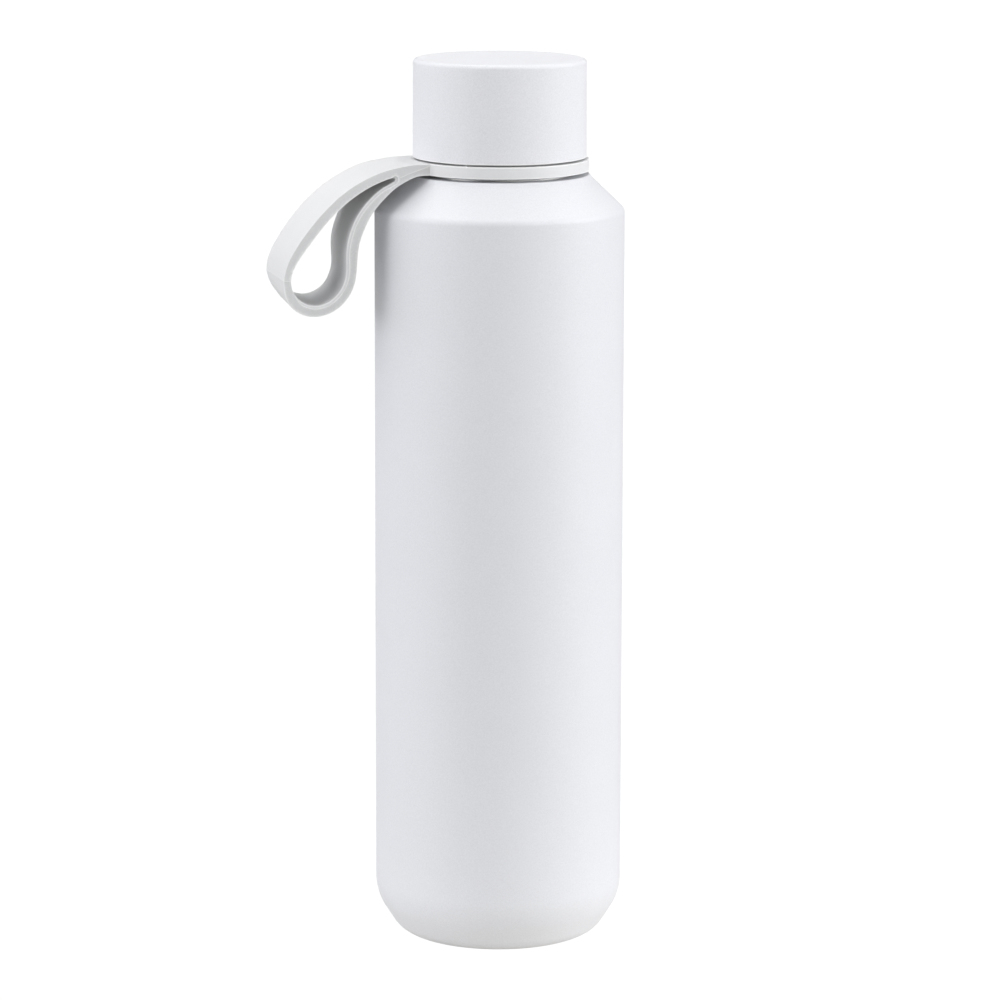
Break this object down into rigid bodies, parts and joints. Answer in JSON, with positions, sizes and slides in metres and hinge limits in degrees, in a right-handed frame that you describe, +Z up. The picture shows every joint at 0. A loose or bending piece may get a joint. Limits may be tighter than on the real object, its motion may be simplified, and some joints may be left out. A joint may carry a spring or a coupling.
{
  "type": "insulated water bottle",
  "caption": "Slim double-wall insulated steel bottle with a conical shoulder, a screw cap and a silicone collar that swivels and carries a carrying loop.",
  "frame": {"origin": "centre of the base ring that the bottle stands on, on the bottle's axis", "axes": "+Z up along the bottle's axis, -X towards the carrying loop, +Y across the loop's band"},
  "size_m": [0.0964, 0.068, 0.2425],
  "materials": {
    "powder_coat": "fine matte powder coat",
    "bare_steel": "satin, bare stainless steel",
    "silicone": "matte moulded silicone",
    "seal_silicone": "matte translucent silicone",
    "liner_plastic": "fine matte moulded polypropylene",
    "foam": "closed-cell foam, sealed inside the cap",
    "copper": "bright copper foil",
    "getter_metal": "sintered grey metal"
  },
  "bodies": {
    "bottle": {"outer_shell": "powder_coat", "outer_base": "powder_coat", "vacuum_seal": "bare_steel", "base_cover": "bare_steel", "inner_flask": "bare_steel", "inner_base": "bare_steel", "copper_foil": "copper", "getter": "getter_metal", "getter_clip": "bare_steel", "threaded_neck": "bare_steel"},
    "seal": {"mouth_gasket": "seal_silicone"},
    "cap": {"cap_shell": "powder_coat", "cap_liner": "liner_plastic", "stopper_plug": "liner_plastic", "cap_insulation": "foam", "insulation_cover": "liner_plastic"},
    "collar": {"strap_collar": "silicone"},
    "loop": {"strap_loop": "silicone"}
  },
  "joints": [
    {"name": "cap_lift", "type": "slide", "parent": "bottle", "child": "seal", "axis": [0, 0, 1], "range_m": [0, 0.03]},
    {"name": "cap_turn", "type": "hinge", "parent": "seal", "child": "cap", "pos_m": [0, 0, 0.216], "axis": [0, 0, 1], "range_deg": [0, 720]},
    {"name": "collar_swivel", "type": "hinge", "parent": "bottle", "child": "collar", "pos_m": [0, 0, 0.2139], "axis": [0, 0, 1], "continuous": true},
    {"name": "loop_flex", "type": "hinge", "parent": "collar", "child": "loop", "pos_m": [-0.0266, 0, 0.2134], "axis": [0, 1, 0], "range_deg": [-10, 90], "stiffness_Nm_per_rad": 0.05}
  ],
  "couplings": [
    {"joint": "cap_lift", "follows": "cap_turn", "m_per_rad": 0.0023873}
  ]
}
